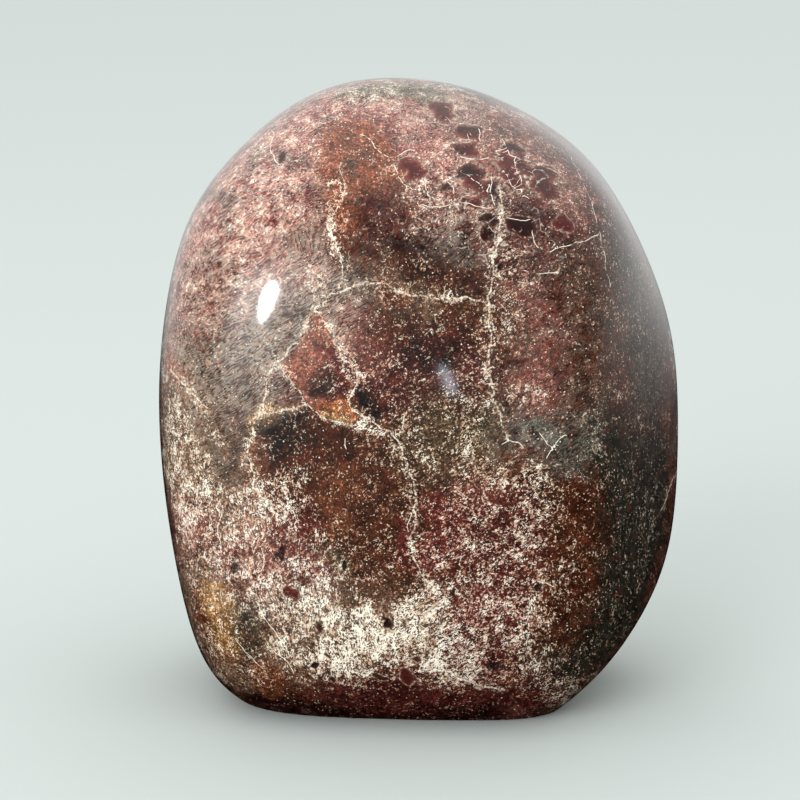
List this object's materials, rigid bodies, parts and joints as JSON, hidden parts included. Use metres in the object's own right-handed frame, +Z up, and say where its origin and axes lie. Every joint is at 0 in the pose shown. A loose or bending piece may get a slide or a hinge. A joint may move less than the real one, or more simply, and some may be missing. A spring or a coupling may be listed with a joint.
{
  "type": "polished garnet freeform",
  "caption": "Tall domed freeform of garnet-bearing rock, polished all over, with soft broad flats and a flat cut base that it stands on.",
  "frame": {"origin": "on the flat cut base, under the middle of the stone's width and depth", "axes": "+Z up through the dome, the shown face towards -Y, and +X to the right as one looks at the shown face"},
  "size_m": [0.1066, 0.0742, 0.1264],
  "materials": {
    "polished_garnet": "polished wine-red and brown garnet rock with cream flecks and veins"
  },
  "bodies": {
    "root": {"stone": "polished_garnet"}
  },
  "joints": []
}
